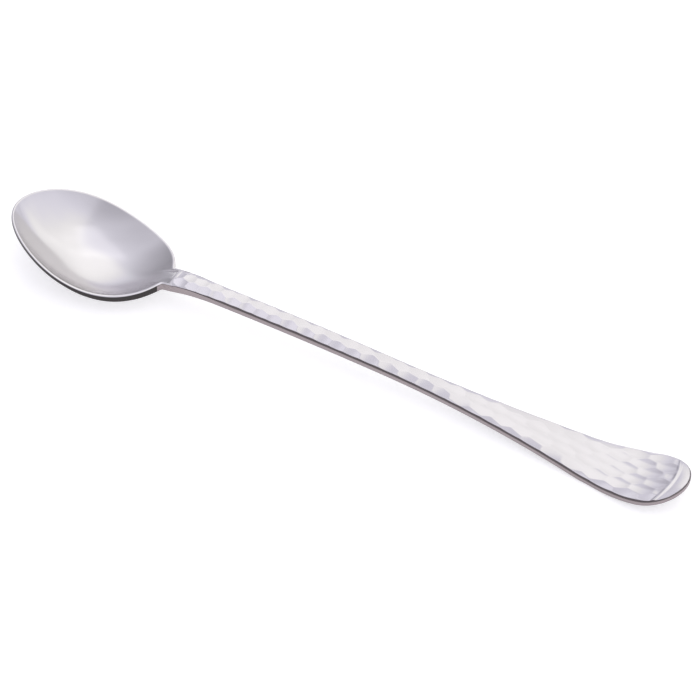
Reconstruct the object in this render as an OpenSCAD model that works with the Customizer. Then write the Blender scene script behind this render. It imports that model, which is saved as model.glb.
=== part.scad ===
// Iced tea spoon, stamped from one steel blank and modelled as its four named regions.
// Lengths are in millimetres. The bowl's tip points to -X, the handle to +X, and the
// spoon lies on z = 0, touching it under the bowl and under the flared end.

/* [Whole spoon] */
// Length from the tip of the bowl to the end of the handle
spoon_l = 190; // [170:1:215]

/* [Bowl] */
// Length of the oval of the bowl
bowl_l = 45; // [42:0.1:48]
// Width of the bowl over its rims
bowl_w = 30.7; // [27:0.1:34]
// Distance from the tip to the widest place of the bowl
bowl_wide_at = 22.5; // [20:0.5:25]
// Height of the rim above the table at the tip
rim_tip_h = 12; // [10:0.1:13]
// Height of the rim above the table at its lowest place, near the heel
rim_low_h = 5.4; // [4.8:0.1:6.2]
// Distance from the tip to the lowest place of the rim
rim_low_at = 34.5; // [31:0.5:38]
// Thickness of the floor of the bowl
bowl_floor = 1.1; // [0.9:0.1:1.4]
// Height of the edge round the front of the bowl
rim_t = 1.1; // [0.9:0.1:1.4]
// Width of the narrow land on top of the rim
rim_land = 0.6; // [0.4:0.1:0.9]

/* [Neck] */
// Distance from the oval of the bowl to the start of the hammered neck
heel_l = 2.3; // [1.6:0.1:3]
// Size of the fillets between the oval and the neck
heel_fillet = 1; // [0.6:0.1:1.2]
// Width of the neck where it leaves the bowl
neck_w = 6.5; // [5.8:0.1:7.4]
// Thickness of the neck where it leaves the bowl
neck_t = 2.2; // [1.8:0.1:2.6]
// Length of the hammered neck, up to the stem
neck_l = 12.7; // [10:0.1:16]
// Distance from the start of the neck to the crest of the handle's arch
crest_l = 6.7; // [5:0.1:9]
// Height of the handle's top edges above the table at the crest
crest_h = 7.9; // [7:0.1:9.5]

/* [Stem] */
// Width of the stem
stem_w = 5.5; // [4.8:0.1:6.4]
// Thickness of the stem at its edges
stem_t = 1.8; // [1.5:0.1:2.2]

/* [Handle end] */
// Length of the flared end of the handle
flare_l = 83; // [70:1:90]
// Radius of the hollow arcs that flare the sides
flare_r = 400; // [340:10:480]
// Greatest width of the handle
end_w = 17.5; // [15.5:0.1:19]
// Length of the convex shoulder before the greatest width
shoulder_l = 12.5; // [9:0.5:16]
// Distance from the greatest width to the end
end_round_l = 9.5; // [8:0.5:12]
// Thickness of the handle's end at its edges
end_t = 1.6; // [1.3:0.1:1.9]
// Distance from the place where the handle rests to its end
foot_l = 22.5; // [20:0.5:27]
// Length of the flat under the handle where it rests
foot_flat_l = 6; // [4:0.5:8]
// Rise of the upturned end above the place where the handle rests
end_rise = 4.6; // [3.5:0.1:5.6]
// Length of the smooth crescent at its middle
lip_l = 3.8; // [3:0.1:4.6]
// Distance from the crescent's corners to the end
lip_side_l = 5.7; // [5.2:0.1:6.4]
// Step from the hammered face down to the crescent
lip_step = 0.25; // [0.1:0.05:0.4]
// Length of the slope of that step
lip_slope_l = 0.7; // [0.5:0.1:1.2]

/* [Hammered face] */
// Length of a dimple next to the bowl
dimple_l = 3.6; // [3:0.1:4.5]
// Length of a dimple next to the crescent
dimple_end_l = 6.6; // [5.5:0.1:8]
// Width of a dimple next to the bowl
dimple_w = 2.2; // [1.8:0.1:2.6]
// Width of a dimple next to the crescent
dimple_end_w = 2.8; // [2.4:0.1:3.4]
// Depth of a dimple below its ridges
dimple_depth = 0.17; // [0.08:0.01:0.24]
// Height of the rounded top face above its edges
crown_h = 0.5; // [0.2:0.05:0.6]
// Width of the bevel between the top face and the sides
bevel_w = 0.35; // [0.2:0.05:0.5]
// Height of the bevel between the top face and the sides
bevel_h = 0.45; // [0.2:0.05:0.6]
// Rounding under the sides
under_bevel = 0.25; // [0.15:0.05:0.4]

/* [Hidden] */

steel = [0.80, 0.79, 0.81];

// Counts of facets
bowl_sides = 24;
heel_sides = 4;
bowl_rings = 9;
top_columns = 20;
neck_rings = 16;
stem_rings = 46;
flare_rings = 62;
shoulder_rings = 18;
lip_rings = 5;

// Powers of the curves, and the share by which the front of the bowl tapers more than an oval
hollow_power = 2.8;
neck_power = 1.5;
tip_taper = 0.245;
// Share of the way to the edge from which the heel pulls the hollow out past its oval
heel_pull_from = 0.75;

// Shares that shape the dimples and their places
dimple_reach_share = 0.42;
ridge_share = 0.55;
row_shift_share = 0.35;
wander_share = 0.12;
last_ring_share = 0.56;
// Turns of the repeating wave that stands for the hand of the smith, in degrees
wander_turns = [131, 277, 59, 83];

// Places along the spoon, measured from the tip of the bowl
crease_at = bowl_l + heel_l;
crest_at = crease_at + crest_l;
stem_at = crease_at + neck_l;
flare_at = spoon_l - flare_l;
foot_at = spoon_l - foot_l;
wide_at = spoon_l - end_round_l;
shoulder_at = wide_at - shoulder_l;
lip_at = spoon_l - lip_side_l;
lip_bulge = lip_side_l - lip_l;
last_ring_at = lip_at + lip_side_l * last_ring_share;

// The arch of the handle meets the upturned end on a common tangent
upturn_r = pow(foot_l, 2) / (2 * end_rise);
foot_dip = pow(foot_flat_l / 2, 2) / (2 * upturn_r);
foot_h = plate_t(foot_at) - foot_dip;
arch_r = pow(foot_at - crest_at, 2) / (2 * (crest_h - foot_h)) - upturn_r;
bend_at = crest_at + (foot_at - crest_at) * arch_r / (arch_r + upturn_r);

function mix(a, b, t) = a + (b - a) * t;
function limit(t) = min(max(t, 0), 1);
function ease(t) = limit(t) * limit(t) * (3 - 2 * limit(t));
function soft_max(a, b, k) = max(a, b) + k * ln(1 + exp(-abs(a - b) / k));

// Cubic from height a with slope m to height b with no slope, over the length l
function settle(a, m, b, l, t) =
    a * (2 * pow(t, 3) - 3 * pow(t, 2) + 1)
    + m * l * (pow(t, 3) - 2 * pow(t, 2) + t)
    + b * (3 * pow(t, 2) - 2 * pow(t, 3));

// Half width of the bowl's oval at the distance s from the tip
function front_half_w(s) =
    let (ahead = pow(1 - s / bowl_wide_at, 2))
    bowl_w / 2 * sqrt(max(1 - ahead * (1 + tip_taper * (1 - ahead)), 0));
// Past the end of the oval it falls below the neck's half width
function back_half_w(s) =
    s < bowl_l ? bowl_w / 2 * sqrt(1 - pow((s - bowl_wide_at) / (bowl_l - bowl_wide_at), 2)) : bowl_l - s;

// Half width of the neck, which narrows to the stem
function neck_half_w(s) = mix(stem_w, neck_w, pow(limit((stem_at - s) / neck_l), neck_power)) / 2;

// Half width of the flared end
function flare_half_w(s) = stem_w / 2 + pow(max(s - flare_at, 0), 2) / (2 * flare_r);
function shoulder_half_w(s) =
    settle(flare_half_w(shoulder_at), (shoulder_at - flare_at) / flare_r, end_w / 2, shoulder_l,
        (s - shoulder_at) / shoulder_l);
function round_half_w(s) = end_w / 2 * sqrt(max(1 - pow((s - wide_at) / end_round_l, 2), 0));

// Half width of the whole outline
function half_w(s) =
    s < bowl_wide_at ? front_half_w(s)
    : s < stem_at ? soft_max(back_half_w(s), neck_half_w(s), heel_fillet)
    : s < shoulder_at ? flare_half_w(s)
    : s < wide_at ? shoulder_half_w(s)
    : round_half_w(s);

// Height of the rim of the bowl and of the handle's top edges above the table
function edge_h(s) =
    s < rim_low_at ? mix(rim_low_h, rim_tip_h, (1 + cos(180 * s / rim_low_at)) / 2)
    : s < crest_at ? mix(rim_low_h, crest_h, ease((s - rim_low_at) / (crest_at - rim_low_at)))
    : s < bend_at ? crest_h - pow(s - crest_at, 2) / (2 * arch_r)
    : foot_h + pow(s - foot_at, 2) / (2 * upturn_r);

// Thickness of the handle at its edges, and height of its underside
function plate_t(s) =
    s < stem_at ? mix(neck_t, stem_t, ease((s - crease_at) / neck_l))
    : mix(stem_t, end_t, (s - stem_at) / (spoon_l - stem_at));
function under_h(s) = max(edge_h(s) - plate_t(s), 0);

// Height of the edge round the bowl, which grows from the widest place to the neck
function rim_edge_t(s) = mix(rim_t, neck_t, limit((s - bowl_wide_at) / (crease_at - bowl_wide_at)));

// Dimples lie in rows along the handle, in a plane of counts: u counts them from the
// crease and v counts rows from the middle, so they grow towards the crescent
face_l = lip_at - crease_at;
dimple_growth = (dimple_end_l - dimple_l) / face_l;
function dimple_u(s) = ln(1 + dimple_growth * (s - crease_at) / dimple_l) / dimple_growth;
function dimple_v(s, y) = y / mix(dimple_w, dimple_end_w, (s - crease_at) / face_l) - row_shift_share;
// Every other row starts half a dimple later
function stagger(j) = j % 2 == 0 ? 0 : 1 / 2;

// A repeating wave that moves each dimple a little from its place
function wander(i, j, turn) =
    wander_share * sin(wander_turns[0] * i + wander_turns[1] * j + wander_turns[2] * i * j + turn);

// Squared distance to a dimple's middle, in shares of its reach and of half its width
function dimple_gap(u, v, i, j) =
    pow((u - i - stagger(j) - wander(i, j, 0)) / dimple_reach_share, 2)
    + pow(2 * (v - j - wander(i, j, wander_turns[3])), 2);
function nearest_gap(u, v) =
    min([for (j = [round(v) - 1 : round(v) + 1])
        for (i = [round(u - stagger(j)) - 1 : round(u - stagger(j)) + 1]) dimple_gap(u, v, i, j)]);
function dimple(s, y) =
    dimple_depth * max(1 - ridge_share * nearest_gap(dimple_u(s), dimple_v(s, y)), 0);

// Place of the crescent's boundary, and the distance past it
function lip_line(y) = lip_at + lip_bulge * (1 - pow(y / half_w(lip_at), 2));
function past_lip(s, y) = s - lip_line(y);

// Distance in from the outline of the handle
function from_side(s, y) =
    s < wide_at ? half_w(s) - abs(y)
    : end_w / 2 * (1 - norm([(s - wide_at) / end_round_l, y / (end_w / 2)]));

// Height of the rounded face above its edges: it falls away over half the stem's width
function crown(s, y) = crown_h * (1 - pow(limit(1 - from_side(s, y) / (stem_w / 2)), 2));

// Height of the handle's top face
function top_h(s, y) =
    edge_h(s) + crown(s, y)
    - (s > crease_at && past_lip(s, y) < 0 ? dimple(s, y) : 0)
    - lip_step * ease(past_lip(s, y) / lip_slope_l);

// Middles of the columns of facets across the handle, from -1 to 1
across = [for (j = [0 : top_columns]) 2 * j / top_columns - 1];
edges_only = [-1, 1];

// Rings of facets along the handle
function even_places(a, b, count) = [for (i = [0 : count - 1]) mix(a, b, i / count)];
neck_places = concat(even_places(crease_at, stem_at, neck_rings), [stem_at]);
stem_places = concat(even_places(stem_at, flare_at, stem_rings), [flare_at]);
end_places = concat(even_places(flare_at, shoulder_at, flare_rings),
    even_places(shoulder_at, lip_at, shoulder_rings),
    even_places(lip_at, last_ring_at, lip_rings), [last_ring_at]);

// How far a ring bows towards the end of the handle at its middle
function bow(s) =
    s <= lip_at ? lip_bulge * ease((s - shoulder_at) / (lip_at - shoulder_at))
    : mix(lip_bulge, spoon_l - last_ring_at, (s - lip_at) / (last_ring_at - lip_at));
// Place of a facet's corner along the spoon; the last ring lies on the outline
function bowed(s, v) =
    s == last_ring_at ? wide_at + end_round_l * sqrt(1 - pow(v * half_w(s) / (end_w / 2), 2))
    : s + bow(s) * (1 - v * v);
// How far the top and bottom faces stop short of the outline at the end of the handle
function short_of_end(s, v, inset) = s == last_ring_at && abs(v) < 1 ? inset : 0;

function top_point(s, v) =
    let (x = bowed(s, v) - short_of_end(s, v, bevel_w), y = v * (half_w(s) - bevel_w))
    [x, y, top_h(x, y)];
function bottom_point(s, v) =
    let (x = bowed(s, v) - short_of_end(s, v, under_bevel), y = v * (half_w(s) - under_bevel))
    [x, y, under_h(x)];
function upper_side(s, v) = [bowed(s, v), v * half_w(s), edge_h(bowed(s, v)) - bevel_h];
function lower_side(s, v) = [bowed(s, v), v * half_w(s), under_h(bowed(s, v)) + under_bevel];

// Two triangles between the corners a, b, c and d of a facet
function facet(a, b, c, d) = [[a, b, c], [a, c, d]];

// A length of the handle: hammered top, plain underside, bevelled sides.
// With round = true its far end follows the outline, otherwise it is cut square.
module handle_length(places, under_columns, round = false) {
    n = len(places) - 1;
    nt = len(across);
    nb = len(under_columns);
    top_count = (n + 1) * nt;
    side_at = top_count + (n + 1) * nb;
    // The path round the sides, as pairs of a place and a column
    path = concat([for (i = [0 : n]) [i, 0]],
        round ? [for (j = [1 : nt - 2]) [n, j]] : [],
        [for (i = [n : -1 : 0]) [i, nt - 1]]);
    np = len(path);
    top_of = [for (p = path) p[0] * nt + p[1]];
    bottom_of = [for (p = path) top_count + p[0] * nb + (p[1] == nt - 1 ? nb - 1 : p[1])];
    links = [for (k = [0 : np - 2]) if (round || k != n) k];
    points = concat(
        [for (s = places) for (v = across) top_point(s, v)],
        [for (s = places) for (v = under_columns) bottom_point(s, v)],
        [for (p = path) upper_side(places[p[0]], across[p[1]])],
        [for (p = path) lower_side(places[p[0]], across[p[1]])]);
    top_faces = [for (i = [0 : n - 1]) for (j = [0 : nt - 2])
        each facet(i * nt + j, i * nt + j + 1, (i + 1) * nt + j + 1, (i + 1) * nt + j)];
    bottom_faces = [for (i = [0 : n - 1]) for (j = [0 : nb - 2])
        each facet(top_count + i * nb + j, top_count + (i + 1) * nb + j,
            top_count + (i + 1) * nb + j + 1, top_count + i * nb + j + 1)];
    side_faces = [for (k = links) each concat(
        facet(top_of[k], top_of[k + 1], side_at + k + 1, side_at + k),
        facet(side_at + k, side_at + k + 1, side_at + np + k + 1, side_at + np + k),
        facet(side_at + np + k, side_at + np + k + 1, bottom_of[k + 1], bottom_of[k]))];
    start_face = concat([for (j = [nt - 1 : -1 : 0]) j],
        [side_at, side_at + np],
        [for (j = [0 : nb - 1]) top_count + j],
        [side_at + 2 * np - 1, side_at + np - 1]);
    end_face = concat([for (j = [0 : nt - 1]) n * nt + j],
        [side_at + n + 1, side_at + np + n + 1],
        [for (j = [nb - 1 : -1 : 0]) top_count + n * nb + j],
        [side_at + np + n, side_at + n]);
    polyhedron(points, concat(top_faces, bottom_faces, side_faces, [start_face], round ? [] : [end_face]));
}

// Outline of the bowl, round from the heel's left corner by the tip to its right
// corner, and then across the heel
function front_place(k) = bowl_wide_at * (1 - sin(90 * k / bowl_sides));
function back_place(k) = mix(bowl_wide_at, crease_at, sin(90 * k / bowl_sides));
bowl_half = concat([for (k = [bowl_sides : -1 : 1]) back_place(k)],
    [for (k = [0 : bowl_sides]) front_place(k)]);
bowl_outline = concat(
    [for (s = bowl_half) [s, half_w(s)]],
    [for (k = [len(bowl_half) - 2 : -1 : 0]) [bowl_half[k], -half_w(bowl_half[k])]],
    [for (k = [1 : heel_sides - 1]) [crease_at, half_w(crease_at) * (2 * k / heel_sides - 1)]]);

// Height of the rim, which follows the crown of the neck across the heel
function rim_h(p, x) = edge_h(x) + (p[0] == crease_at ? crown(crease_at, p[1]) : 0);

// Middle of the bowl, and the hollow's edge beside a point of the outline
middle = [bowl_wide_at, 0];
function hollow_edge(p) =
    p[0] < bowl_wide_at ? mix(middle, p, 1 - rim_land / norm(p - middle))
    : [mix(bowl_wide_at, p[0], 1 - rim_land / (crease_at - bowl_wide_at)),
        p[1] * (1 - rim_land / half_w(p[0]))];

// How far a point of the edge lies past the oval, as a share; only the heel does
function past_oval(p, inset) =
    p[0] < bowl_wide_at ? 1
    : max(norm([(p[0] - bowl_wide_at) / (bowl_l - inset - bowl_wide_at), p[1] / (bowl_w / 2 - inset)]), 1);
// Share by which a ring at the share r of the way to the edge has left the oval's shape
function drawn(r) = ease((r - heel_pull_from) / (1 - heel_pull_from));
// Rise of the hollow and the belly at the share r of the way to the edge
function profile(r, past) = pow(mix(r * past, r, drawn(r)), hollow_power);
// Place along the spoon where the way to an edge at x crosses the oval
function oval_at(x, past) = mix(bowl_wide_at, x, 1 / past);
// Height at the share r, from the middle's height over the oval's to the edge's
function ray_h(middle_h, oval_h, edge_top, r, past) =
    mix(middle_h, oval_h, profile(r, past)) + (edge_top - oval_h) * drawn(r);

// Points at the share r of the way from the middle to an edge
function at_height(p, z) = [p[0], p[1], z];
function hollow_point(p, r) =
    let (edge = hollow_edge(p), past = past_oval(edge, rim_land))
    at_height(mix(middle, edge, r),
        ray_h(bowl_floor, edge_h(oval_at(edge[0], past)), rim_h(p, edge[0]), r, past));
function back_point(p, r) =
    let (past = past_oval(p, 0), x = oval_at(p[0], past))
    at_height(mix(middle, p, r),
        ray_h(0, edge_h(x) - rim_edge_t(x), edge_h(p[0]) - rim_edge_t(p[0]), r, past));

// Shell of the bowl: hollow, land, edge and underside as rings round the middle
module bowl_shell() {
    nk = len(bowl_outline);
    rings = concat(
        [for (i = [1 : bowl_rings]) [for (p = bowl_outline) hollow_point(p, i / bowl_rings)]],
        [[for (p = bowl_outline) at_height(p, rim_h(p, p[0]))]],
        [for (i = [bowl_rings : -1 : 1]) [for (p = bowl_outline) back_point(p, i / bowl_rings)]]);
    nr = len(rings);
    points = concat([at_height(middle, bowl_floor)], [for (ring = rings) each ring], [at_height(middle, 0)]);
    last = len(points) - 1;
    faces = concat(
        [for (k = [0 : nk - 1]) [0, 1 + (k + 1) % nk, 1 + k]],
        [for (i = [0 : nr - 2]) for (k = [0 : nk - 1])
            each facet(1 + i * nk + k, 1 + i * nk + (k + 1) % nk,
                1 + (i + 1) * nk + (k + 1) % nk, 1 + (i + 1) * nk + k)],
        [for (k = [0 : nk - 1]) [last, 1 + (nr - 1) * nk + k, 1 + (nr - 1) * nk + (k + 1) % nk]]);
    polyhedron(points, faces);
}

// Moves a region from its place along the spoon to the middle of the whole length
module from_tip() {
    translate([-spoon_l / 2, 0, 0]) children();
}

module bowl() {
    color(steel) from_tip() bowl_shell();
}

module neck() {
    color(steel) from_tip() handle_length(neck_places, edges_only);
}

module stem() {
    color(steel) from_tip() handle_length(stem_places, edges_only);
}

module handle_end() {
    color(steel) from_tip() handle_length(end_places, across, round = true);
}

bowl();
neck();
stem();
handle_end();
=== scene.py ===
import math

import bmesh
import bpy
import numpy as np
from mathutils import Matrix, Vector


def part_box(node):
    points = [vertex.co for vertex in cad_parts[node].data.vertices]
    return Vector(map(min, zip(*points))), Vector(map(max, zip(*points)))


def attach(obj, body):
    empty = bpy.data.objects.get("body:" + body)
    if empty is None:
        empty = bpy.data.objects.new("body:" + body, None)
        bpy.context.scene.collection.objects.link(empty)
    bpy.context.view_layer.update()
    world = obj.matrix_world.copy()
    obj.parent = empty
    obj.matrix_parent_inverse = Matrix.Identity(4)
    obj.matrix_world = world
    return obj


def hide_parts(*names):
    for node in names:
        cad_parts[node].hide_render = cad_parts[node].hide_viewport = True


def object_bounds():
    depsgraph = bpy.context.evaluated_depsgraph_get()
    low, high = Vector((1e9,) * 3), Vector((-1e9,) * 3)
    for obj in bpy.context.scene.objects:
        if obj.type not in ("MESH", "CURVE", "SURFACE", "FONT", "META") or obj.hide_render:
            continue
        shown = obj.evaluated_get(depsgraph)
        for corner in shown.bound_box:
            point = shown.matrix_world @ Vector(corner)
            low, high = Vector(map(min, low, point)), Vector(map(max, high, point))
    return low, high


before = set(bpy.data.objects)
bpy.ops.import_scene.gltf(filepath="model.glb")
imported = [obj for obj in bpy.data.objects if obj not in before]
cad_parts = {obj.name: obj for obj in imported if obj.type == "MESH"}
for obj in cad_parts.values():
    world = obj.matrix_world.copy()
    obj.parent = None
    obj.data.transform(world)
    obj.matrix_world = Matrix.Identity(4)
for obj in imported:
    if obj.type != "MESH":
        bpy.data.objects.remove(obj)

# Sizes are in millimetres along the spoon, measured from the tip of the bowl.
# Meshes are made in metres, with the middle of the spoon's length at x = 0.
MM = 0.001
cad_low, cad_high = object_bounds()
size_of = {name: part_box(name) for name in ("bowl", "neck", "stem", "handle_end")}

# Driving sizes taken from the frame
SPOON_L = (cad_high.x - cad_low.x) / MM
BOWL_W = (size_of["bowl"][1].y - size_of["bowl"][0].y) / MM
RIM_TIP_H = size_of["bowl"][1].z / MM
CREASE_AT = size_of["bowl"][1].x / MM + SPOON_L / 2
STEM_AT = size_of["stem"][0].x / MM + SPOON_L / 2
FLARE_AT = size_of["handle_end"][0].x / MM + SPOON_L / 2

# Bowl
OVAL_L = 45
WIDE_AT = 22.5
RIM_LOW_H = 5.4
RIM_LOW_AT = 34.5
FLOOR_T = 1.1
RIM_T = 1.1
RIM_LAND = 0.6
RIM_ROUND_W = 0.4
RIM_ROUND_SHARE = 0.45
HEEL_FILLET = 1
TIP_TAPER = 0.245
HEEL_PULL_FROM = 0.75
HOLLOW_POWER = 2.8
HEEL_CROWN_FROM = 42
# Where the painted shade on the rim's lower bevel and side stops, towards the heel
PAINTED_SHADE_RIM_END_AT = 44.2

# Neck and stem
NECK_W = 6.5
NECK_T = 2.2
NECK_POWER = 1.5
CREST_L = 6.7
CREST_H = 7.9
STEM_W = 5.5
STEM_T = 1.8

# Handle end
FLARE_R = 400
END_W = 17.5
END_ROUND_L = 9.5
SHOULDER_L = 12.5
END_T = 1.6
FOOT_L = 22.5
FOOT_FLAT_L = 6
END_RISE = 4.6
LIP_L = 3.8
LIP_SIDE_L = 5.7
LIP_STEP = 0.25
LIP_SLOPE_L = 0.7
LAST_RING_SHARE = 0.62

# Hammered face
DIMPLE_L = 3.6
DIMPLE_END_L = 6.6
DIMPLE_W = 2.2
DIMPLE_END_W = 2.8
DIMPLE_DEPTH = 0.17
DIMPLE_LEAST_SHARE = 0.1
DIMPLE_REACH_SHARE = 0.42
RIDGE_SHARE = 0.55
RIDGE_ROUND = 0.12
ROW_SHIFT_SHARE = 0.35
WANDER_SHARE = 0.12
WANDER_TURNS = (131, 277, 59, 83)
CROWN_H = 0.5
CROWN_W = STEM_W / 2
BEVEL_W = 0.35
BEVEL_H = 0.45
NECK_BEVEL = 0.12
BEVEL_FULLNESS = 0.35
BEVEL_GROWS_OVER = 20
UNDER_ROUND = 0.3
RIM_UNDER_ROUND = 0.15

# Places worked out from the sizes
OVAL_BACK_L = OVAL_L - WIDE_AT
CREST_AT = CREASE_AT + CREST_L
FOOT_AT = SPOON_L - FOOT_L
END_WIDE_AT = SPOON_L - END_ROUND_L
SHOULDER_AT = END_WIDE_AT - SHOULDER_L
LIP_AT = SPOON_L - LIP_SIDE_L
LIP_BULGE = LIP_SIDE_L - LIP_L
LAST_RING_AT = LIP_AT + LIP_SIDE_L * LAST_RING_SHARE
UPTURN_R = FOOT_L**2 / (2 * END_RISE)
DIMPLE_GROWTH = (DIMPLE_END_L - DIMPLE_L) / (LIP_AT - CREASE_AT)

# Rows, columns and rings of the meshes
TURN_STEPS = 4
OUTLINE_STEPS = 90
INNER_RINGS = 56
OUTER_RINGS = 18
OUTER_RINGS_FROM = 0.9
STEM_COLUMNS = 56
END_COLUMNS = 106
NECK_ROWS = 70
STEM_ROWS = 235
FLARE_ROWS = 305
SHOULDER_ROWS = 84
LIP_ROWS = 22


def mix(a, b, t):
    return a + (b - a) * t


def limit(t):
    return np.clip(t, 0, 1)


def ease(t):
    t = limit(t)
    return t * t * (3 - 2 * t)


def soft_max(a, b, k):
    return np.maximum(a, b) + k * np.log1p(np.exp(-np.abs(a - b) / k))


def settle(a, m, b, length, t):
    """Cubic from a with slope m to b with no slope, over a length."""
    return (a * (2 * t**3 - 3 * t**2 + 1) + m * length * (t**3 - 2 * t**2 + t)
            + b * (3 * t**2 - 2 * t**3))


def half_w(s):
    """Half width of the outline at the distance s from the bowl's tip."""
    s = np.asarray(s, float)
    ahead = limit(1 - s / WIDE_AT)
    front = BOWL_W / 2 * np.sqrt(limit(1 - ahead**2 * (1 + TIP_TAPER * (1 - ahead**2))))
    oval_back = BOWL_W / 2 * np.sqrt(1 - limit((s - WIDE_AT) / OVAL_BACK_L) ** 2)
    back = np.where(s < OVAL_L, oval_back, OVAL_L - s)
    neck =mix(STEM_W, NECK_W, limit((STEM_AT - s) / (STEM_AT - CREASE_AT)) ** NECK_POWER) / 2
    flare = STEM_W / 2 + np.maximum(s - FLARE_AT, 0) ** 2 / (2 * FLARE_R)
    flare_end = STEM_W / 2 + (SHOULDER_AT - FLARE_AT) ** 2 / (2 * FLARE_R)
    flare_slope = (SHOULDER_AT - FLARE_AT) / FLARE_R
    shoulder = settle(flare_end, flare_slope, END_W / 2, SHOULDER_L, (s - SHOULDER_AT) / SHOULDER_L)
    end = END_W / 2 * np.sqrt(limit(1 - ((s - END_WIDE_AT) / END_ROUND_L) ** 2))
    return np.select([s < WIDE_AT, s < STEM_AT, s < SHOULDER_AT, s < END_WIDE_AT],
                     [front, soft_max(back, neck, HEEL_FILLET), flare, shoulder], end)


def plate_t(s):
    """Thickness of the handle at its edges."""
    neck = mix(NECK_T, STEM_T, ease((s - CREASE_AT) / (STEM_AT - CREASE_AT)))
    return np.where(s < STEM_AT, neck, mix(STEM_T, END_T, (s - STEM_AT) / (SPOON_L - STEM_AT)))


FOOT_H = float(plate_t(FOOT_AT)) - (FOOT_FLAT_L / 2) ** 2 / (2 * UPTURN_R)
ARCH_R = (FOOT_AT - CREST_AT) ** 2 / (2 * (CREST_H - FOOT_H)) - UPTURN_R
BEND_AT = CREST_AT + (FOOT_AT - CREST_AT) * ARCH_R / (ARCH_R + UPTURN_R)


def edge_h(s):
    """Height of the bowl's rim and of the handle's top edges above the table."""
    rim = mix(RIM_LOW_H, RIM_TIP_H, (1 + np.cos(np.pi * s / RIM_LOW_AT)) / 2)
    heel = mix(RIM_LOW_H, CREST_H, ease((s - RIM_LOW_AT) / (CREST_AT - RIM_LOW_AT)))
    arch = CREST_H - (s - CREST_AT) ** 2 / (2 * ARCH_R)
    upturn = FOOT_H + (s - FOOT_AT) ** 2 / (2 * UPTURN_R)
    return np.select([s < RIM_LOW_AT, s < CREST_AT, s < BEND_AT], [rim, heel, arch], upturn)


def rim_edge_t(s):
    """Height of the edge round the bowl, which grows towards the neck."""
    return mix(RIM_T, NECK_T, limit((s - WIDE_AT) / (CREASE_AT - WIDE_AT)))


def under_h(s):
    return np.where(s < CREASE_AT, edge_h(s) - rim_edge_t(s), np.maximum(edge_h(s) - plate_t(s), 0))


def dimple_u(s):
    """Count of dimples from the crease; they grow steadily longer on the way."""
    length_share = 1 + DIMPLE_GROWTH * (s - CREASE_AT) / DIMPLE_L
    return np.log(np.maximum(length_share, DIMPLE_LEAST_SHARE)) / DIMPLE_GROWTH


def dimple_v(s, y):
    """Count of rows of dimples from the middle of the handle."""
    row_w = mix(DIMPLE_W, DIMPLE_END_W, (s - CREASE_AT) / (LIP_AT - CREASE_AT))
    return y / row_w - ROW_SHIFT_SHARE


def wander(i, j, turn):
    """A repeating wave that moves each dimple a little from its place."""
    turns = WANDER_TURNS[0] * i + WANDER_TURNS[1] * j + WANDER_TURNS[2] * i * j + turn
    return WANDER_SHARE * np.sin(np.radians(turns))


def nearest_gap(u, v):
    """Squared distance to the nearest dimple's middle, smoothed over the ridges."""
    total = 0
    for row in (-1, 0, 1):
        j = np.round(v) + row
        stagger = (j % 2) / 2
        for step in (-1, 0, 1):
            i = np.round(u - stagger) + step
            du = (u - i - stagger - wander(i, j, 0)) / DIMPLE_REACH_SHARE
            dv = 2 * (v - j - wander(i, j, WANDER_TURNS[3]))
            total = total + np.exp(-(du * du + dv * dv) / RIDGE_ROUND)
    return -RIDGE_ROUND * np.log(total)


def dimple(s, y):
    gap = np.maximum(nearest_gap(dimple_u(s), dimple_v(s, y)), 0)
    return DIMPLE_DEPTH * np.maximum(1 - RIDGE_SHARE * gap, 0)


def past_lip(s, y):
    """Distance past the boundary of the smooth crescent at the end."""
    line = LIP_AT + LIP_BULGE * (1 - (y / float(half_w(LIP_AT))) ** 2)
    return s - line


def from_side(s, y):
    """Distance in from the outline of the handle."""
    round_share = np.hypot((s - END_WIDE_AT) / END_ROUND_L, y / (END_W / 2))
    return np.where(s < END_WIDE_AT, half_w(s) - np.abs(y), END_W / 2 * (1 - round_share))


def crown(s, y):
    """Height of the rounded face above its edges."""
    return CROWN_H * (1 - limit(1 - from_side(s, y) / CROWN_W) ** 2)


def plain_top(s, y):
    """Height of the neck's top without dimples, which runs out into the bowl's rim."""
    heel = ease((s - HEEL_CROWN_FROM) / (CREASE_AT - HEEL_CROWN_FROM))
    return edge_h(s) + crown(s, y) * heel


def handle_top(s, y):
    """Height of the hammered face, and of the smooth crescent past the lip line."""
    past = past_lip(s, y)
    hammered = ease(-past / LIP_SLOPE_L) * (s > CREASE_AT)
    return plain_top(s, y) - hammered * dimple(s, y) - LIP_STEP * ease(past / LIP_SLOPE_L)


def past_oval(edge, inset):
    """How far points of the bowl's edge lie past its oval, as a share; only the heel does."""
    along = (edge[:, 0] - WIDE_AT) / (OVAL_BACK_L - inset)
    across = edge[:, 1] / (BOWL_W / 2 - inset)
    return np.where(edge[:, 0] < WIDE_AT, 1, np.maximum(np.hypot(along, across), 1))


def drawn(share):
    """Share by which a ring of the hollow has left the oval's shape."""
    return ease((share - HEEL_PULL_FROM) / (1 - HEEL_PULL_FROM))


def profile(share, past):
    """Rise of the hollow and the belly along a ray from the middle of the bowl to its edge."""
    return mix(share * past, share, drawn(share)) ** HOLLOW_POWER


def at_neck(s, bowl_value, neck_value, handle_value):
    """A size that changes from the bowl to the neck and from there to the handle."""
    neck = mix(bowl_value, neck_value, ease((s - RIM_LOW_AT) / (CREASE_AT - RIM_LOW_AT)))
    return mix(neck, handle_value, ease((s - CREASE_AT) / BEVEL_GROWS_OVER))


def bevel_w(s):
    return at_neck(s, RIM_ROUND_W, NECK_BEVEL, BEVEL_W)


def bevel_h(s):
    return at_neck(s, RIM_ROUND_SHARE * rim_edge_t(s), NECK_BEVEL, BEVEL_H)


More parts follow.
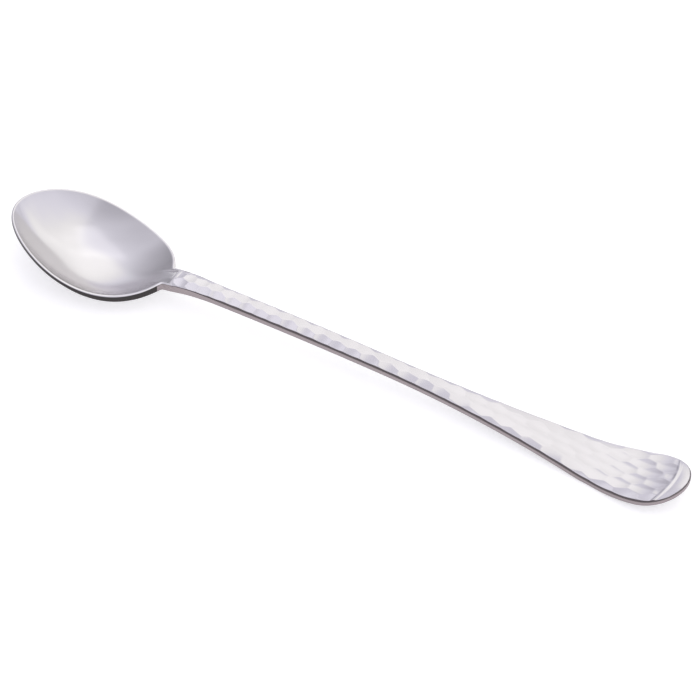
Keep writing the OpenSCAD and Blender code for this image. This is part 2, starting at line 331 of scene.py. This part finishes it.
def under_round(s):
    return at_neck(s, RIM_UNDER_ROUND, UNDER_ROUND, UNDER_ROUND)


# Kinds of faces, which are also the places of their materials; a cut end takes the first one
# SIDE, EDGE and RIM faces take steels whose dark colours are painted shade and painted reflection
TOP, SIDE, EDGE, RIM, CUT = 0, 1, 2, 3, 4


class Patchwork:
    """Collects points and faces of one piece; only its hidden cut ends are shaded flat."""

    def __init__(self):
        self.points = []
        self.faces = []
        self.kinds = []
        self.count = 0

    def add_points(self, xyz):
        xyz = np.asarray(xyz, float).reshape(-1, 3)
        first = self.count
        self.points.append(xyz)
        self.count += len(xyz)
        return np.arange(first, self.count)

    def add_grid(self, ids, kind):
        """Faces between neighbouring rows of point numbers."""
        a, b, c, d = ids[:-1, :-1], ids[1:, :-1], ids[1:, 1:], ids[:-1, 1:]
        quads = np.stack([a, b, c, d], -1).reshape(-1, 4)
        self.faces.extend(quads.tolist())
        self.kinds.extend([kind] * len(quads))

    def add_faces(self, faces, kind):
        self.faces.extend([list(map(int, f)) for f in faces])
        self.kinds.extend([kind] * len(faces))

    def build(self, name, materials):
        xyz = np.concatenate(self.points)
        xyz[:, 0] -= SPOON_L / 2
        mesh = bpy.data.meshes.new(name)
        mesh.from_pydata((xyz * MM).tolist(), [], self.faces)
        for material in materials:
            mesh.materials.append(material)
        kinds = np.array(self.kinds)
        mesh.polygons.foreach_set("material_index", (kinds % CUT).astype(np.int32))
        mesh.polygons.foreach_set("use_smooth", kinds != CUT)
        sharpen_cuts(mesh)
        piece = bpy.data.objects.new(name, mesh)
        bpy.context.collection.objects.link(piece)
        return piece


def sharpen_cuts(mesh):
    """Keeps the flat cut ends out of the smooth shading of the faces beside them."""
    work = bmesh.new()
    work.from_mesh(mesh)
    for face in work.faces:
        if not face.smooth:
            for edge in face.edges:
                edge.smooth = False
    work.to_mesh(mesh)
    work.free()


def corner(start, bend, end, fullness=1):
    """Points of a corner between its two ends: 0 is a flat bevel and 1 is round."""
    rows = []
    bend = mix((start + end) / 2, bend, fullness)
    for k in range(1, TURN_STEPS):
        t = k / TURN_STEPS
        rows.append((1 - t) ** 2 * start + 2 * t * (1 - t) * bend + t * t * end)
    return rows


def side_rows(outline, top_edge, under_edge, fullness):
    """Rows of points down the bevel, the side and the rounding under it."""
    s = outline[:, 0]
    over = np.column_stack([outline, top_edge[:, 2]])
    upper = np.column_stack([outline, edge_h(s) - bevel_h(s)])
    below = np.column_stack([outline, under_edge[:, 2]])
    lower = np.column_stack([outline, under_edge[:, 2] + under_round(s)])
    bevel = corner(top_edge, over, upper, fullness) + [upper]
    return bevel, [lower] + corner(lower, below, under_edge)


def add_sides(work, top_ids, bevel, side, under_ids, lengths):
    """Faces from the top face's edge to the underside's, and the numbers of their points."""
    bevel_ids = [top_ids] + [work.add_points(row) for row in bevel]
    side_ids = [bevel_ids[-1]] + [work.add_points(row) for row in side] + [under_ids]
    half = TURN_STEPS // 2
    for first, end, upper_kind, lower_kind, side_kind in lengths:
        work.add_grid(np.array(bevel_ids)[:half + 1, first:end], upper_kind)
        work.add_grid(np.array(bevel_ids)[half:, first:end], lower_kind)
        work.add_grid(np.array(side_ids)[:, first:end], side_kind)
    return np.array(bevel_ids + side_ids[1:])


def spread(a, b, count):
    return np.linspace(a, b, count + 1)


def bow(s):
    """How far a ring bows towards the end of the handle at its middle."""
    before = LIP_BULGE * ease((s - SHOULDER_AT) / (LIP_AT - SHOULDER_AT))
    after = mix(LIP_BULGE, SPOON_L - LAST_RING_AT, (s - LIP_AT) / (LAST_RING_AT - LIP_AT))
    return np.where(s <= LIP_AT, before, after)


def end_outline(y):
    return END_WIDE_AT + END_ROUND_L * np.sqrt(limit(1 - (y / (END_W / 2)) ** 2))


def handle_length(name, places, columns, materials, round_end=False):
    """A length of the handle: hammered top, plain underside and rounded sides."""
    work = Patchwork()
    s, v = np.meshgrid(places, columns, indexing="ij")
    outline_s = s + bow(s) * (1 - v * v)
    if round_end:
        outline_s[-1] = end_outline(v[-1] * half_w(s[-1]))
    inner = np.abs(v) < 1
    last = np.zeros_like(s, bool)
    last[-1] = round_end

    def face(height, inset):
        y = v * (half_w(s) - inset)
        x = outline_s - np.where(last & inner, inset, 0)
        return np.stack([x, y, height(x, y)], -1)

    top = face(handle_top, bevel_w(s))
    under = face(lambda x, y: under_h(x), under_round(s))
    n, m = len(places) - 1, len(columns) - 1
    top_ids = work.add_points(top).reshape(n + 1, m + 1)
    under_ids = work.add_points(under).reshape(n + 1, m + 1)
    work.add_grid(top_ids, TOP)
    work.add_grid(under_ids[:, ::-1], TOP)

    path = [(i, 0) for i in range(n + 1)]
    if round_end:
        path += [(n, j) for j in range(1, m)]
    path += [(i, m) for i in range(n, -1, -1)]
    row, col = np.array(path).T
    outline = np.column_stack([outline_s[row, col], (v * half_w(s))[row, col]])
    bevel, side = side_rows(outline, top[row, col], under[row, col], BEVEL_FULLNESS)
    lengths = [(0, len(path))] if round_end else [(0, n + 1), (n + 1, len(path))]
    # Bevels take the bevel steel with its painted reflection, and sides take the side steel with its
    # painted shade
    lengths = [(first, end, EDGE, EDGE, SIDE) for first, end in lengths]
    ids = add_sides(work, top_ids[row, col], bevel, side, under_ids[row, col], lengths)
    if not round_end:
        far_end = [*top_ids[n, ::-1], *ids[1:-1, n], *under_ids[n], *ids[-2:0:-1, n + 1]]
        work.add_faces([far_end], CUT)
    near_end = [*top_ids[0], *ids[1:-1, -1], *under_ids[0, ::-1], *ids[-2:0:-1, 0]]
    work.add_faces([near_end], CUT)
    return work.build(name, materials)


def bowl_piece(name, columns, materials):
    """The bowl: hollow and belly as rings round its middle, and the rounded rim."""
    work = Patchwork()
    turn = spread(0, np.pi / 2, OUTLINE_STEPS)
    back = mix(WIDE_AT, CREASE_AT, np.sin(turn[::-1]))
    front = WIDE_AT * (1 - np.sin(turn[1:]))
    half = np.concatenate([back, front])
    s_side = np.concatenate([half, half[-2::-1]])
    sign = np.concatenate([np.ones(len(half)), -np.ones(len(half) - 1)])
    outline = np.column_stack([s_side, sign * half_w(s_side)])
    step = np.gradient(outline, axis=0)
    inward = np.column_stack([-step[:, 1], step[:, 0]])
    inward /= np.linalg.norm(inward, axis=1)[:, None]
    inward[0], inward[-1] = (0, -1), (0, 1)
    heel_y = columns[1:-1]

    def loop(height, inset_sides, inset_heel):
        """Edge of a face: round the sides, and straight across the heel."""
        sides = outline + inward * inset_sides[:, None]
        sides[0, 0] = sides[-1, 0] = CREASE_AT
        across = np.column_stack([np.full(len(heel_y), CREASE_AT),
                                  heel_y * (half_w(CREASE_AT) - inset_heel)])
        xy = np.concatenate([sides, across])
        return np.column_stack([xy, height(xy[:, 0], xy[:, 1])])

    def hollow_edge(edge):
        """The edge moved in by the rim's land."""
        s, y = edge[:, 0], edge[:, 1]
        ahead = 1 - RIM_LAND / np.hypot(s - WIDE_AT, y)
        behind = 1 - RIM_LAND / (CREASE_AT - WIDE_AT)
        s_in = mix(WIDE_AT, s, np.where(s < WIDE_AT, ahead, behind))
        y_in = y * np.where(s < WIDE_AT, ahead, 1 - RIM_LAND / half_w(s))
        return np.column_stack([s_in, y_in, plain_top(s_in, y_in)])

    top_inset = bevel_w(outline[:, 0])
    under_inset = under_round(outline[:, 0])
    top_edge = loop(plain_top, top_inset, top_inset[0])
    under_edge = loop(lambda x, y: under_h(x), under_inset, under_inset[0])
    hollow = hollow_edge(loop(plain_top, 0 * top_inset, 0))
    shares = np.concatenate([spread(0, OUTER_RINGS_FROM, INNER_RINGS)[1:],
                             spread(OUTER_RINGS_FROM, 1, OUTER_RINGS)[1:]])
    middle = np.array([WIDE_AT, 0])

    def disc(edge, inset, floor_h, rim_height, outer, flip):
        """Rings from the middle to an edge, and on from there to the loops outside it."""
        past = past_oval(edge, inset)
        oval_h = rim_height(mix(WIDE_AT, edge[:, 0], 1 / past))
        rings = []
        for share in shares:
            xy = mix(middle, edge[:, :2], share)
            height = mix(floor_h, oval_h, profile(share, past))
            height = height + (edge[:, 2] - oval_h) * drawn(share)
            rings.append(work.add_points(np.column_stack([xy, height])))
        rings += [work.add_points(ring) for ring in outer]
        centre = work.add_points([[*middle, floor_h]])[0]
        ids = np.array([np.append(r, r[0]) for r in rings])
        work.add_grid(ids[:, ::-1] if flip else ids, TOP)
        fan = [[centre, a, b] for a, b in zip(ids[0][:-1], ids[0][1:])]
        work.add_faces([f[::-1] for f in fan] if flip else fan, TOP)
        return rings[-1]

    half_land = mix(hollow, top_edge, 0.5)
    half_land[:, 2] = plain_top(half_land[:, 0], half_land[:, 1])
    top_ids = disc(hollow, RIM_LAND, FLOOR_T, edge_h, [half_land, top_edge], False)
    under_ids = disc(under_edge, 0, 0, under_h, [], True)
    k = len(outline)
    bevel, side = side_rows(outline, top_edge[:k], under_edge[:k], 1)
    # Round the front of the bowl, the rim's lower bevel and side take the rim steel with its painted
    # shade
    rim = int(np.argmax(s_side < PAINTED_SHADE_RIM_END_AT))
    lengths = [(0, rim + 1, TOP, EDGE, SIDE), (rim, k - rim, TOP, RIM, RIM),
               (k - rim - 1, k, TOP, EDGE, SIDE)]
    ids = add_sides(work, top_ids[:k], bevel, side, under_ids[:k], lengths)
    heel_end = [*ids[:, -1], *under_ids[k:], *ids[::-1, 0], *top_ids[k:][::-1]]
    work.add_faces([heel_end], CUT)
    return work.build(name, materials)


# Each steel: its colour, its roughness and how far that varies, the scale of its grain along x, y
# and z, how far its tone varies, and the strength of its relief
STEELS = {
    "satin_bowl_steel": ((0.69, 0.675, 0.685), 0.19, 0.02, (300, 2500, 300), 0.015, 0.03),
    "hammered_steel": ((0.655, 0.638, 0.656), 0.16, 0.02, (400, 3000, 400), 0.015, 0.03),
    # Side steel: its dark pinkish colour is painted shade, standing for the shaded table that the
    # sides mirror
    "side_steel_painted_shade": ((0.34, 0.295, 0.305), 0.3, 0.05, (200, 200, 3000), 0.04, 0.1),
    # Bevel steel: its near-black colour is a painted reflection of the dark studio behind the camera
    "bevel_steel_painted_reflection": ((0.17, 0.15, 0.15), 0.25, 0.03, (200, 200, 200), 0.03, 0.03),
    # Rim steel: its near-black colour is painted shade, standing for the shadowed floor under the
    # bowl that the rim mirrors
    "rim_steel_painted_shade": ((0.055, 0.05, 0.05), 0.3, 0.03, (200, 200, 200), 0.03, 0.03),
}
GRAIN_DETAIL = 3
GRAIN_LOW = 0.3
GRAIN_HIGH = 0.7
CLOUD_SCALE = 60
CLOUD_DETAIL = 2
RELIEF_H = 0.00002
FLOOR_TONE = (0.8, 0.8, 0.8)
FLOOR_ROUGHNESS = 0.9
FLOOR_GLOW = 0.42


def link(tree, a, b):
    tree.links.new(a, b)


def add_node(tree, kind, inputs):
    """A new node with values for some of its inputs."""
    node = tree.nodes.new(kind)
    for name, value in inputs.items():
        node.inputs[name].default_value = value
    return node


def colour_mix(tree):
    """A new node that blends two colours."""
    node = tree.nodes.new("ShaderNodeMix")
    node.data_type = "RGBA"
    return node


def new_material(name):
    """A new material with its nodes and its shader."""
    material = bpy.data.materials.new(name)
    material.use_nodes = True
    tree = material.node_tree
    return material, tree, tree.nodes["Principled BSDF"]


def toned(colour, level):
    """A colour made lighter or darker, with full opacity."""
    return (*(min(c * level, 1) for c in colour), 1)


def steel(name):
    """Polished steel: fine drawn grain, faint cloudiness and a little relief."""
    colour, roughness, roughness_spread, grain_scale, tone_spread, relief_strength = STEELS[name]
    material, tree, shader = new_material(name)
    shader.inputs["Metallic"].default_value = 1
    place = tree.nodes.new("ShaderNodeTexCoord")
    stretch = add_node(tree, "ShaderNodeMapping", {"Scale": grain_scale})
    grain = add_node(tree, "ShaderNodeTexNoise", {"Scale": 1, "Detail": GRAIN_DETAIL})
    cloud = add_node(tree, "ShaderNodeTexNoise", {"Scale": CLOUD_SCALE, "Detail": CLOUD_DETAIL})
    link(tree, place.outputs["Object"], stretch.inputs["Vector"])
    link(tree, stretch.outputs["Vector"], grain.inputs["Vector"])
    link(tree, place.outputs["Object"], cloud.inputs["Vector"])
    rough = add_node(tree, "ShaderNodeMapRange", {"From Min": GRAIN_LOW, "From Max": GRAIN_HIGH,
                                                  "To Min": roughness - roughness_spread,
                                                  "To Max": roughness + roughness_spread})
    link(tree, grain.outputs["Fac"], rough.inputs["Value"])
    link(tree, rough.outputs["Result"], shader.inputs["Roughness"])
    tone = colour_mix(tree)
    tone.inputs["A"].default_value = toned(colour, 1 - tone_spread)
    tone.inputs["B"].default_value = toned(colour, 1 + tone_spread)
    link(tree, cloud.outputs["Fac"], tone.inputs["Factor"])
    link(tree, tone.outputs["Result"], shader.inputs["Base Color"])
    relief = add_node(tree, "ShaderNodeBump", {"Strength": relief_strength, "Distance": RELIEF_H})
    link(tree, grain.outputs["Fac"], relief.inputs["Height"])
    link(tree, relief.outputs["Normal"], shader.inputs["Normal"])
    return material


def calculate(tree, operation, a, b):
    """A node's output put together with another one or with a plain number."""
    node = tree.nodes.new("ShaderNodeMath")
    node.operation = operation
    link(tree, a, node.inputs[0])
    if isinstance(b, float):
        node.inputs[1].default_value = b
    else:
        link(tree, b, node.inputs[1])
    return node.outputs[0]


def floor_material():
    """A pale floor that keeps the spoon's shadow and glows a little where it is seen or mirrored."""
    material, tree, shader = new_material("pale_floor")
    shader.inputs["Base Color"].default_value = (*FLOOR_TONE, 1)
    shader.inputs["Roughness"].default_value = FLOOR_ROUGHNESS
    shader.inputs["Specular IOR Level"].default_value = 0
    rays = tree.nodes.new("ShaderNodeLightPath").outputs
    seen = calculate(tree, "MAXIMUM", rays["Is Camera Ray"], rays["Is Glossy Ray"])
    seen = calculate(tree, "MAXIMUM", seen, rays["Is Transmission Ray"])
    glow = calculate(tree, "MULTIPLY", seen, FLOOR_GLOW)
    shader.inputs["Emission Color"].default_value = (1, 1, 1, 1)
    link(tree, glow, shader.inputs["Emission Strength"])
    return material


# Floor, light and camera
FLOOR_SIZE = 1.6
CAMERA_AZIMUTH = 29.3
CAMERA_ELEVATION = 44.7
CAMERA_DISTANCE = 1.0
CAMERA_NEAR = 0.01
CAMERA_FAR = 20
PIXELS = 700
PIXELS_PER_MM = 4.036
SENSOR = 36
AIM_RIGHT = 1.978
AIM_UP = 0.557
AIM_H = 4

# Directions from the spoon, and levels of the studio's light on the way towards each of them
BACK_RIGHT = (0.7615, 0.491, -0.4236)
BACK_STOPS = ((0.05, 0.68), (0.12, 0.71), (0.19, 0.735), (0.25, 0.74), (0.293, 0.745),
              (0.315, 1), (0.38, 1), (0.52, 0.9), (0.70, 0.82), (0.90, 0.76))
FRONT = (0.124, -0.953, 0.276)
FRONT_STOPS = ((0.30, 1), (0.50, 0.883), (0.70, 0.813), (0.85, 0.742), (1, 0.524))
LEFT = (-0.907, 0.408, 0.103)
LEFT_STOPS = ((0.50, 1), (0.70, 0.91), (0.85, 0.886), (1, 0.487))

# Levels of light from the horizon upwards, tints of dim and of bright light, and the level of all
HORIZON_STOPS = ((0, 0.8), (0.12, 0.66), (0.25, 0.82), (0.42, 0.949))
TINT_STOPS = ((0.60, (1, 0.985, 1.09)), (0.74, (1, 0.99, 0.985)))
WORLD_LEVEL = 1.58

# Softbox over the bowl
LAMP_TOWARD = Vector((-0.15, 0.1, 0.98))
LAMP_ALONG = Vector((0.61, -0.79, 0))
LAMP_DISTANCE = 0.3
LAMP_L = 0.4
LAMP_W = 0.08
LAMP_LEVEL = 0.25


def make_floor():
    mesh = bpy.data.meshes.new("floor")
    h = FLOOR_SIZE / 2
    mesh.from_pydata([(-h, -h, 0), (h, -h, 0), (h, h, 0), (-h, h, 0)], [], [(0, 1, 2, 3)])
    mesh.materials.append(floor_material())
    floor = bpy.data.objects.new("floor", mesh)
    floor.location.z = cad_low.z
    bpy.context.collection.objects.link(floor)


def make_camera():
    a, e = math.radians(CAMERA_AZIMUTH), math.radians(CAMERA_ELEVATION)
    right = Vector((math.cos(a), math.sin(a), 0))
    up = Vector((-math.sin(a) * math.sin(e), math.cos(a) * math.sin(e), math.cos(e)))
    back = Vector((math.sin(a) * math.cos(e), -math.cos(a) * math.cos(e), math.sin(e)))
    aim = Vector((0, 0, AIM_H * MM)) + (right * AIM_RIGHT + up * AIM_UP) * MM
    data = bpy.data.cameras.new("camera")
    data.sensor_width = SENSOR
    data.lens = PIXELS_PER_MM * CAMERA_DISTANCE / MM * SENSOR / PIXELS
    data.clip_start = CAMERA_NEAR
    data.clip_end = CAMERA_FAR
    camera = bpy.data.objects.new("camera", data)
    turn = Matrix((right, up, back)).transposed().to_4x4()
    camera.matrix_world = Matrix.Translation(aim + back * CAMERA_DISTANCE) @ turn
    bpy.context.collection.objects.link(camera)
    bpy.context.scene.camera = camera


def make_lamp():
    """A weak, narrow softbox over the bowl, which the camera doesn't see."""
    bowl_middle = Vector(((WIDE_AT - SPOON_L / 2) * MM, 0, 0))
    toward = LAMP_TOWARD.normalized()
    across = toward.cross(LAMP_ALONG).normalized()
    data = bpy.data.lights.new("strip_softbox", "AREA")
    data.shape = "RECTANGLE"
    data.size = LAMP_L
    data.size_y = LAMP_W
    data.energy = LAMP_LEVEL * math.pi * LAMP_L * LAMP_W
    lamp = bpy.data.objects.new("strip_softbox", data)
    turn = Matrix((across.cross(toward), across, toward)).transposed().to_4x4()
    lamp.matrix_world = Matrix.Translation(bowl_middle + toward * LAMP_DISTANCE) @ turn
    lamp.visible_camera = False
    bpy.context.collection.objects.link(lamp)


def ramp_of(tree, value, stops):
    """Grey or colour that follows a value through a few stops."""
    ramp = tree.nodes.new("ShaderNodeValToRGB")
    ramp.color_ramp.interpolation = "EASE"
    elements = ramp.color_ramp.elements
    while len(elements) < len(stops):
        elements.new(0.5)
    for element, (position, level) in zip(elements, stops):
        element.position = position
        element.color = (*level, 1) if isinstance(level, tuple) else (level, level, level, 1)
    link(tree, value, ramp.inputs["Fac"])
    return ramp.outputs["Color"]


def share_toward(tree, place, toward):
    """How far a direction turns towards another one: 0 is away from it and 1 is along it."""
    dot = tree.nodes.new("ShaderNodeVectorMath")
    dot.operation = "DOT_PRODUCT"
    dot.inputs[1].default_value = toward
    link(tree, place, dot.inputs[0])
    share = add_node(tree, "ShaderNodeMapRange", {"From Min": -1, "From Max": 1})
    link(tree, dot.outputs["Value"], share.inputs["Value"])
    return share.outputs["Result"]


def multiply(tree, a, b):
    """Two colours multiplied."""
    node = colour_mix(tree)
    node.blend_type = "MULTIPLY"
    node.inputs["Factor"].default_value = 1
    link(tree, a, node.inputs["A"])
    link(tree, b, node.inputs["B"])
    return node.outputs["Result"]


def make_world():
    """A pale studio whose light changes with height and towards three directions."""
    world = bpy.data.worlds.new("studio")
    bpy.context.scene.world = world
    world.use_nodes = True
    tree = world.node_tree
    place = tree.nodes.new("ShaderNodeTexCoord").outputs["Generated"]
    height = tree.nodes.new("ShaderNodeSeparateXYZ")
    link(tree, place, height.inputs["Vector"])
    light = ramp_of(tree, height.outputs["Z"], HORIZON_STOPS)
    for toward, stops in ((BACK_RIGHT, BACK_STOPS), (FRONT, FRONT_STOPS), (LEFT, LEFT_STOPS)):
        share = share_toward(tree, place, toward)
        light = multiply(tree, light, ramp_of(tree, share, stops))
    light = multiply(tree, light, ramp_of(tree, light, TINT_STOPS))
    background = tree.nodes["Background"]
    link(tree, light, background.inputs["Color"])
    background.inputs["Strength"].default_value = WORLD_LEVEL


make_camera()
make_floor()
make_world()
make_lamp()

# The side, bevel and rim steels carry painted shade and painted reflection in their colours
bowl_steel, face_steel, painted_shade_side, painted_reflection_edge, painted_shade_rim = [steel(name) for name in STEELS]
bowl_finishes = [bowl_steel, painted_shade_side, painted_reflection_edge, painted_shade_rim]
finishes = [face_steel, painted_shade_side, painted_reflection_edge]
columns = spread(-1, 1, STEM_COLUMNS)
neck_places = spread(CREASE_AT, STEM_AT, NECK_ROWS)
stem_places = spread(STEM_AT, FLARE_AT, STEM_ROWS)
end_places = np.concatenate([spread(FLARE_AT, SHOULDER_AT, FLARE_ROWS)[:-1],
                             spread(SHOULDER_AT, LIP_AT, SHOULDER_ROWS)[:-1],
                             spread(LIP_AT, LAST_RING_AT, LIP_ROWS)])
end_columns = spread(-1, 1, END_COLUMNS)

bowl = bowl_piece("bowl_shell", columns, bowl_finishes)
neck = handle_length("neck_piece", neck_places, columns, finishes)
stem = handle_length("stem_piece", stem_places, columns, finishes)
handle_end = handle_length("handle_end_piece", end_places, end_columns, finishes, True)

for piece, node in ((bowl, "bowl"), (neck, "neck"), (stem, "stem"), (handle_end, "handle_end")):
    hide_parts(node)
    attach(piece, "root")

bpy.context.scene.view_settings.view_transform = "Standard"
